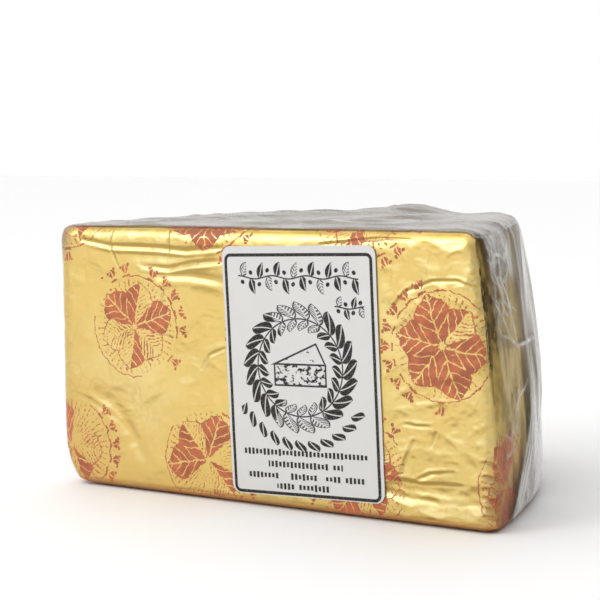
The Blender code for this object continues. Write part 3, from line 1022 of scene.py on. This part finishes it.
def foil_metal(paint, where, crease, pleats):
    """Bare foil: a painted highlight where it faces up, painted olive shade in creases and on the rind.
    """
    tilt = paint.stored("tilt")
    metal = paint.mix(paint.noise(where, 26).between(0.45, 0.80) * 0.5, GOLD, PALE_GOLD_AND_HIGHLIGHT)
    # Painted highlight: paler where the crumple turns up.
    metal = paint.mix(tilt.between(0.52, 0.85), metal, PALE_GOLD_AND_HIGHLIGHT)
    # Painted shade: the rind, turned from the light, is darker and olive, in upright streaks.
    rind = paint.mix(pleats.between(0.36, 0.56), SIDE_SHADE, SHADED_SIDE_GOLD)
    metal = paint.mix(paint.stored("rind"), metal, rind)
    # Painted shade: olive in the drawn folds, along the small creases and where the crumple turns down.
    shade = (paint.stored("fold") * FOLD_SHADE).most(crease * CREASE_SHADE)
    metal = paint.mix(shade.most(1 - tilt.between(0.12, 0.48)) * SHADE_SHARE, metal, OLIVE_SHADE)
    along, _, height = paint.parts(where)
    # Painted warm shade towards the foot of the tip's end and of the corner by the rind.
    tip_foot = (1 - along.between(*TIP_FOOT_X)) * (1 - height.between(*TIP_FOOT_Z))
    corner_foot = along.between(*CORNER_FOOT_X) * (1 - height.between(*CORNER_FOOT_Z))
    warm_shade = (tip_foot * TIP_WARM_SHADE).most(corner_foot * CORNER_WARM_SHADE)
    metal = paint.mix(warm_shade, metal, WARM_SHADE_GOLD)
    # Painted shade: a brown band along the foot, where the foil turns under.
    metal = paint.mix(1 - height.between(FOOT_LOW, FOOT_HIGH), metal, FOOT_SHADE_GOLD)
    # Painted shade on the corner by the rind, broken into streaks.
    shade_streaks = paint.noise(where, SHADE_STREAK_SIZE, 4.0, 0.7).between(0.42, 0.54)
    corner = paint.stored("corner") * at_least(LEAST_STREAKED, shade_streaks)
    return paint.mix(corner, metal, CORNER_SHADE_BROWN)


def printed_foil():
    """Tinted metal with creases, print, and painted light and shade."""
    paint = Finish("printed_gold_foil")
    where = paint.place()
    ink = leaf_print(paint)
    wandering = paint.swayed(where, 6, 4 * MM)
    facets = paint.facets(wandering, FACETS)
    small_facets = paint.facets(wandering, SMALL_FACETS)
    crumpled = paint.noise(where, 22).between(0.40, 0.62)
    # The edges of the facets, where painted shade runs along the creases.
    crease = (CREASE_WIDTH - facets).edge(CREASE_WIDTH) * crumpled
    # Upright streaks of the painted shade on the rind.
    pleats = paint.noise(wandering, PLEAT_SIZE, 3.0, 0.55)
    metal = foil_metal(paint, where, crease, pleats)
    # The ink is darker at random, and has painted shade where the crumple turns down.
    shade = paint.noise(where, 5, 3.0).between(0.35, 0.60)
    brick = paint.mix(shade * paint.stored("tilt").between(0.1, 0.6), BRICK_DARK_AND_SHADED, BRICK)
    colour = paint.mix(ink * INK_COVER, metal, brick)
    height = facets * at_least(LEAST_FACETED, crumpled) + small_facets * SMALL_SHARE * crumpled
    height = height + paint.noise(where, 1.2, 3.0) * FINE_RELIEF
    relief = paint.bump(height, RELIEF_DEPTH, RELIEF_STRENGTH)
    metallic = FOIL_METALLIC - ink * INK_METALLIC_LOSS
    roughness = FOIL_ROUGHNESS + ink * INK_ROUGHNESS_GAIN
    return paint.show(paint.surface(colour, roughness, {"Metallic": metallic, "Normal": relief}))


dress(foil, printed_foil())

# %% [markdown]
# ## The film's finish
#
# Clear film shows mostly by its gloss, and turns milky where it is bunched. A mix of a transparent
# shader and a glossy pale one does both: the share of the pale one rises at glancing angles, as any
# clear plastic's gloss does, where the layers lie thick, and along the crests of its ridges and
# thin threads, which stand partly for stretched film turning white and partly for painted highlights.

# %% Clear and milky stretch film
MILK = (0.72, 0.70, 0.665, 1)
# The film on the top: a darker grey copy of its milk, partly layered film and partly painted reflection,
# with darker blotches.
TOP_MILK_AND_REFLECTION = (0.325, 0.305, 0.275, 1)
TOP_SHADE = (0.235, 0.218, 0.190, 1)
STREAK_SIZE, BLOTCH_SIZE, PULL_SIZE = (22, 19, 32), (26, 9, 13), (24, 18, 30)  # in mm
THREAD_WIDTH, THREAD_EDGE = 0.010, 0.012
THREAD_WHITE_AND_HIGHLIGHT, CREST_WHITE_AND_HIGHLIGHT, MILK_GAIN = 0.20, 0.08, 1.2
STRAND_MILK, STRAND_STREAKS = 0.45, 0.40
LEAST_COVER = 0.7
STEEP_CLEAR = 0.55  # how much clearer the top is when looked at from straight above
TIGHT_GLOSS, LOOSE_GLOSS, LEVEL_GLOSS_LOSS = 0.16, 0.50, 0.6
LEAST_SHARE, MOST_SHARE = 0.005, 0.96
PLASTIC_IOR, FILM_ROUGHNESS = 1.45, 0.20
THREAD_RELIEF, FILM_RELIEF_DEPTH, FILM_RELIEF_STRENGTH = 0.4, 0.5 * MM, 0.5


def stretch_film():
    """Clear film: glossy at a glancing look, and milky where it is thick."""
    paint = Finish("clear_stretch_film")
    where = paint.place()
    milk = paint.stored("milk")
    level = paint.stored("level")
    streaks = paint.noise(where, STREAK_SIZE, 3.0, 0.55, 0.6)
    blotches = paint.noise(where, BLOTCH_SIZE, 4.0, 0.60, 0.4)
    pull = paint.noise(where, PULL_SIZE, 3.0, 0.5, 1.2)
    thread = (THREAD_WIDTH - abs(pull - 0.5)).edge(THREAD_EDGE)
    loose = (milk * 6).least(1.0)
    steep = 1 - paint.add("ShaderNodeLayerWeight", {}, {"Blend": 0.5}, output=1)
    cover = at_least(LEAST_COVER, blotches.between(0.35, 0.6)) * (1 - STEEP_CLEAR * steep)
    patchy = streaks.between(0.28, 0.66) * (1 - level) + cover * level
    # White along the threads and crests: partly stretched film turning white, partly painted highlight.
    lines = thread * THREAD_WHITE_AND_HIGHLIGHT + paint.stored("crest") * CREST_WHITE_AND_HIGHLIGHT
    strands = STRAND_MILK + STRAND_STREAKS * streaks.between(0.35, 0.60)
    cloudy = milk * patchy * MILK_GAIN + loose * lines + paint.stored("strand") * strands
    fresnel = paint.add("ShaderNodeFresnel", {}, {"IOR": PLASTIC_IOR})
    gloss = fresnel * (TIGHT_GLOSS + LOOSE_GLOSS * loose) * (1 - level * LEVEL_GLOSS_LOSS)
    share = (gloss + cloudy + LEAST_SHARE).least(MOST_SHARE)
    # The top's grey: partly layered film, partly painted reflection.
    grey = paint.mix(blotches.between(0.38, 0.62), TOP_SHADE, TOP_MILK_AND_REFLECTION)
    colour = paint.mix(level, MILK, grey)
    height = streaks + thread * THREAD_RELIEF
    relief = paint.bump(height, FILM_RELIEF_DEPTH, FILM_RELIEF_STRENGTH)
    metallic = (gloss / share).least(1.0)
    pale = paint.surface(colour, FILM_ROUGHNESS, {"Metallic": metallic, "Normal": relief})
    clear = paint.add("ShaderNodeBsdfTransparent")
    return paint.show(paint.add("ShaderNodeMixShader", {}, {0: share, 1: clear, 2: pale}))


dress(film, stretch_film())

# %% [markdown]
# ## The sticker's print
#
# White paper with a thin black frame and one colour of ink. Its picture here is a plain one, a
# wedge in a wreath of leaves, with a leafy band above and rows of bars below.

# %% Satin paper, printed in black
PAPER = (0.680, 0.676, 0.658, 1)
PAPER_SHADE = (0.640, 0.635, 0.618, 1)
INK = (0.016, 0.013, 0.009, 1)
PAPER_GLOSS = 0.25
FRAME_HALF_WIDTH = 23.2 * MM
FRAME_HALF_HEIGHT = 33.4 * MM
FRAME_CORNER = 1.5 * MM
FRAME_LINE = 0.92 * MM
FRAME_SHIFT_U, FRAME_SHIFT_V = -0.1 * MM, -0.9 * MM
PRINT_EDGE = 0.14 * MM
LEAF_STRIPES, STRIPE_TONE = 0.9 * MM, 0.9
LEAF_MIDDLE, LEAF_OUTLINE, LEAF_LEAN = 0.13 * MM, 0.15 * MM, 0.3
STEM_WAVE, STEM_HALF = 0.10, 0.20 * MM
BERRY_PLACE, BERRY_RADIUS = 0.36, 0.62 * MM


def rounded_box(u, v, half_width, half_height, corner):
    """The distance outside a rounded rectangle, below zero inside."""
    x = abs(u) - (half_width - corner)
    y = abs(v) - (half_height - corner)
    return distance(x.most(0.0), y.most(0.0)) + x.most(y).least(0.0) - corner


def inked_leaf(along, across, length, width, solid):
    """A printed leaf from its stalk at 0 to its tip: its outline, its veins, and ink where solid."""
    leaf = leaf_shape(along, across, 0.0, length, width / 2)
    middle = (abs(across) - LEAF_MIDDLE).edge(PRINT_EDGE)
    stripes = ((along - abs(across)) * (FULL_TURN / LEAF_STRIPES)).sine().edge(0.8) * STRIPE_TONE
    line = (LEAF_OUTLINE - abs(leaf)).edge(PRINT_EDGE)
    return (leaf.edge(PRINT_EDGE) * middle * stripes.most(solid)).most(line)


def vine(u, v, low, high, pitch, length, width):
    """A wavy stem with a leaf on one side and a berry on the other in turn, from low to high."""
    number = (u / pitch).floor()
    middle = (number + 0.5) * pitch
    inside = (middle - low).least(high - middle) > 0
    stem = v - (u * (FULL_TURN / (4 * pitch))).sine() * (STEM_WAVE * length)
    across = u - middle
    up = stem * ((number % 2) * 2 - 1)
    solid = (number % 3) < 1.5
    leaf = inked_leaf(up + across * LEAF_LEAN, across - up * LEAF_LEAN, length, width, solid)
    berry = (BERRY_RADIUS - distance(across, up + length * BERRY_PLACE)).edge(PRINT_EDGE)
    stalk = (STEM_HALF - abs(stem)).edge(PRINT_EDGE)
    return leaf.most(berry).most(stalk) * inside


# %% [markdown]
# ### The wreath and the wedge
#
# The picture is drawn from the same leaf, set round a ring. The cells of the ring are slanted with
# the leaves, by adding to the angle as the radius grows, so that no leaf is cut by its neighbour's
# cell. The wedge is made of half-planes: a point is in a polygon when it is on the inner side of
# each of its edges, so the least of those distances is the distance inside it.

# %% A wreath round a drawn wedge
WREATH_RADIUS = 13.6 * MM
WREATH_LEAVES = 21
OUTER_LEAF, INNER_LEAF = (6.0 * MM, 2.9 * MM), (4.2 * MM, 2.5 * MM)  # length and width
LEAF_SLANT = math.radians(38)
WEDGE_END, WEDGE_RIM, WEDGE_FOOT = 8.2, 0.9, -5.0  # the drawing's right end, rim and foot, in mm
RIGHT_SLOPE, LEFT_SLOPE = 116, 23  # how its top's edges run, in degrees
WEDGE_LINE = 0.26 * MM
VEIN_SIZE, VEIN_EDGE, SIDE_VEINS, TOP_VEINS = (1.9, 1.4, 1), 0.03, 0.54, 0.62


def half_plane(u, v, x, y, degrees):
    """The distance to the left of a line through (x, y), in millimetres, that runs at an angle."""
    way = math.radians(degrees)
    return (v - y * MM) * math.cos(way) - (u - x * MM) * math.sin(way)


def leaf_ring(angle, up, radius, count, leaf, solid):
    """Slanted leaves that stand on a circle, at a height of up outside it."""
    pitch = FULL_TURN / count * radius
    share = angle * (count / FULL_TURN) - up * (math.tan(LEAF_SLANT) / pitch)
    across = (share - share.floor() - 0.5) * (pitch * math.cos(LEAF_SLANT))
    return inked_leaf(up * (1 / math.cos(LEAF_SLANT)), across, *leaf, solid)


def wreath(angle, radius):
    """Leaves on both sides of a ring: solid at the left and right, and striped above and below."""
    up = radius - WREATH_RADIUS
    solid = (abs(angle.cosine()) - 0.5).edge(0.04)
    outer = leaf_ring(angle, up, WREATH_RADIUS, WREATH_LEAVES, OUTER_LEAF, solid)
    inner = leaf_ring(angle, -1 * up, WREATH_RADIUS, WREATH_LEAVES, INNER_LEAF, solid)
    return outer.most(inner).most((STEM_HALF - abs(up)).edge(PRINT_EDGE))


def drawn_wedge(paint, u, v):
    """A plain drawing of a wedge of veined cheese, seen from the side and above."""
    sides_inside = (WEDGE_END * MM - u).least(u + WEDGE_END * MM)
    side_face = (v - WEDGE_FOOT * MM).least(WEDGE_RIM * MM - v).least(sides_inside)
    right = half_plane(u, v, WEDGE_END, WEDGE_RIM, RIGHT_SLOPE)
    left = -1 * half_plane(u, v, -WEDGE_END, WEDGE_RIM, LEFT_SLOPE)
    top_face = (v - WEDGE_RIM * MM).least(right).least(left)
    lines = (WEDGE_LINE - abs(side_face)).most(WEDGE_LINE - abs(top_face)).edge(PRINT_EDGE)
    spots = paint.noise(paint.vector(u, v), VEIN_SIZE, 3.0, 0.6)
    veins = (spots - SIDE_VEINS).edge(VEIN_EDGE) * side_face.edge(PRINT_EDGE)
    few = (spots - TOP_VEINS).edge(VEIN_EDGE) * top_face.edge(PRINT_EDGE)
    return lines.most(veins).most(few)


# %% [markdown]
# ### The whole sticker
#
# Above the picture is a band of vine, longer than the one below it. Under the picture runs an arc
# of single leaves, and at the foot four rows of short bars.

# %% Satin paper with its print
PICTURE_U, PICTURE_V = -0.4 * MM, 2.2 * MM
VINES = (  # height, start, end, distance of the leaves, and their length and width, in mm
    (27.2, -20.5, 20.5, 2.75, 4.5, 2.5),
    (19.0, 12.0, 21.0, 2.3, 3.2, 1.9),
)
ARC_RADIUS, ARC_LEAVES = 20.4 * MM, 32
ARC_LEAF = (4.0 * MM, 2.1 * MM)
BAR_ROWS = ((-21.8, 20.0), (-25.1, 12.0), (-28.4, 19.0), (-31.3, 9.5))  # height and half-length, mm
BAR_HALF_HEIGHT, SHORTEST_BAR = 1.0 * MM, 0.55
BAR_HALF_WIDTH, BAR_PITCH = 0.40 * MM, 1.25 * MM
GAP_CHANCE = 0.12
THINNEST_INK = 0.86
PAPER_ROUGHNESS, INK_SHINE = 0.42, 0.08
FIBRE_SIZE, FIBRE_DEPTH, FIBRE_STRENGTH = 0.35, 0.02 * MM, 0.4


def leaf_arc(angle, radius):
    """Single leaves along the lower part of a circle round the picture."""
    up = radius - ARC_RADIUS
    return leaf_ring(angle, up, ARC_RADIUS, ARC_LEAVES, ARC_LEAF, 1.0) * (angle.sine() < -0.5)


def bar_rows(paint, u, v):
    """Rows of upright bars of uneven height, with gaps."""
    ink = None
    number = (u / BAR_PITCH).floor()
    across = abs(u - (number + 0.5) * BAR_PITCH)
    for row, (middle, half_length) in enumerate(BAR_ROWS):
        tall = BAR_HALF_HEIGHT * at_least(SHORTEST_BAR, paint.chance(number, row))
        bar = (tall - abs(v - middle * MM)).least(BAR_HALF_WIDTH - across)
        shown = paint.chance((number / 4).floor(), row, (number % 5)) > GAP_CHANCE
        inside = half_length * MM - abs(u)
        part = bar.edge(PRINT_EDGE) * inside.edge(PRINT_EDGE) * shown
        ink = part if ink is None else ink.most(part)
    return ink


def printed_paper():
    """White paper with the frame, the vines, the picture and the bars in black."""
    paint = Finish("satin_paper")
    u, v = paint.uv("sheet")
    u = u - FRAME_SHIFT_U
    v = v - FRAME_SHIFT_V
    frame_line = rounded_box(u, v, FRAME_HALF_WIDTH, FRAME_HALF_HEIGHT, FRAME_CORNER)
    ink = (FRAME_LINE / 2 - abs(frame_line)).edge(PRINT_EDGE)
    for height, *sizes in VINES:
        ink = ink.most(vine(u, v - height * MM, *(size * MM for size in sizes)))
    picture_u = u - PICTURE_U
    picture_v = v - PICTURE_V
    angle = picture_v.math("ARCTAN2", picture_v, picture_u)
    radius = distance(picture_u, picture_v)
    ink = ink.most(wreath(angle, radius)).most(drawn_wedge(paint, picture_u, picture_v))
    ink = ink.most(leaf_arc(angle, radius)).most(bar_rows(paint, u, v))
    flat = paint.vector(u, v)
    ink = ink * at_least(THINNEST_INK, paint.noise(flat, 0.5).between(0.3, 0.5))
    paper = paint.mix(paint.noise(flat, 9), PAPER, PAPER_SHADE)
    colour = paint.mix(ink, paper, INK)
    relief = paint.bump(paint.noise(flat, FIBRE_SIZE), FIBRE_DEPTH, FIBRE_STRENGTH)
    others = {"Specular IOR Level": PAPER_GLOSS, "Normal": relief}
    return paint.show(paint.surface(colour, PAPER_ROUGHNESS - ink * INK_SHINE, others))


dress(sticker, printed_paper())

# %% [markdown]
# ## Everything rides on the part
#
# The part has no joints, so its one body is the root. Foil and film stand for the wrapped wedge
# and the sticker for the card.

# %% Ride and replace
for piece, slot in ((foil, "gold_foil"), (film, "stretch_film"), (sticker, "label_card")):
    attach(piece, "root")
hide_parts("wrapped_wedge")
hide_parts("wrapped_wedge")
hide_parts("label")

# %% [markdown]
# ## Floor, light and camera
#
# A pack shot: white floor, white surroundings that are darker only to the right, so that the rind
# turns away from the light, and one large soft lamp above and to the left.

# %% Floor
FLOOR_SIZE = 4.0
FLOOR_WHITE, FLOOR_ROUGHNESS = (0.93, 0.93, 0.93, 1), 0.7


def make_floor():
    """A white sheet, far wider than the picture."""
    body = square_sheet()
    bmesh.ops.scale(body, verts=body.verts, vec=(FLOOR_SIZE, FLOOR_SIZE, 1))
    mesh = bpy.data.meshes.new("floor")
    body.to_mesh(mesh)
    body.free()
    floor = linked("floor", mesh)
    paint = Finish("pale_floor")
    dress(floor, paint.show(paint.surface(FLOOR_WHITE, FLOOR_ROUGHNESS)))
    return floor


make_floor()

# %% [markdown]
# ### Surroundings
#
# A metal shows what is round it, so the surroundings shape the foil as much as a lamp does. A
# picture of a studio would do. A formula of the direction is enough here: dark to the right, a
# brighter sky, and a little dimmer far to the left, where the tip's end of the front face looks.

# %% Surroundings and lamp
RIGHT_LIGHT = 0.32
SKY_LIGHT = 0.55
FAR_LEFT_LOSS = 0.55
LEFT_X, SKY_Z = (-0.25, 0.35), (0.25, 0.85)  # between which directions each changes
FAR_LEFT_X, FAR_LEFT_Y = (-0.80, -0.42), (-0.35, -0.05)
LAMP_PLACE = (-0.58, -0.95, 0.66)
LAMP_SIZE = 0.6
LAMP_POWER = 4.15
LAMP_AIM = (0, 0, 0.04)


class Surroundings(Finish):
    """The world's light under construction."""

    def __init__(self, name):
        world = bpy.data.worlds.new(name)
        world.use_nodes = True
        bpy.context.scene.world = world
        self.tree = world.node_tree
        self.tree.nodes.clear()


def make_surroundings():
    paint = Surroundings("studio")
    x, y, z = paint.parts(paint.add("ShaderNodeTexCoord", output="Generated"))
    far_left = (1 - x.between(*FAR_LEFT_X)) * (1 - y.between(*FAR_LEFT_Y))
    strength = at_least(RIGHT_LIGHT, 1 - x.between(*LEFT_X)) + SKY_LIGHT * z.between(*SKY_Z)
    strength = strength * (1 - FAR_LEFT_LOSS * far_left)
    light = paint.add("ShaderNodeBackground", {}, {"Color": (1, 1, 1, 1), "Strength": strength})
    paint.add("ShaderNodeOutputWorld", {}, {"Surface": light})


def make_lamp():
    """A large soft square lamp, turned to the wedge."""
    lamp = bpy.data.lights.new("soft_key", "AREA")
    lamp.size = LAMP_SIZE
    lamp.energy = LAMP_POWER
    holder = linked("soft_key", lamp)
    holder.location = LAMP_PLACE
    aim = Vector(LAMP_AIM) - Vector(LAMP_PLACE)
    holder.rotation_euler = aim.to_track_quat("-Z", "Y").to_euler()
    print("lamp at", round(aim.length, 2), "m")


make_surroundings()
make_lamp()

# %% [markdown]
# ### Camera
#
# Its place and turn were solved from the edges of the wedge in the photo: half a metre away, a
# little above the top of the wedge, and 31 degrees round to the right of the front face.

# %% Camera
CAMERA_PLACE = (0.2585, -0.4528, 0.1107)
CAMERA_YAW = math.radians(31.37)
CAMERA_PITCH = math.radians(6.23)
CAMERA_ROLL = math.radians(-0.79)
CAMERA_LENS = 103.6
SENSOR = 36.0


def make_camera():
    """The camera, where the photo was taken from."""
    data = bpy.data.cameras.new("camera")
    data.lens = CAMERA_LENS
    data.sensor_width = SENSOR
    camera = linked("camera", data)
    camera.rotation_mode = "QUATERNION"
    turn = Matrix.Rotation(CAMERA_YAW, 3, "Z") @ Matrix.Rotation(math.pi / 2 - CAMERA_PITCH, 3, "X")
    camera.rotation_quaternion = (turn @ Matrix.Rotation(CAMERA_ROLL, 3, "Z")).to_quaternion()
    camera.location = CAMERA_PLACE
    bpy.context.scene.camera = camera


make_camera()
bpy.context.scene.view_settings.view_transform = "Standard"
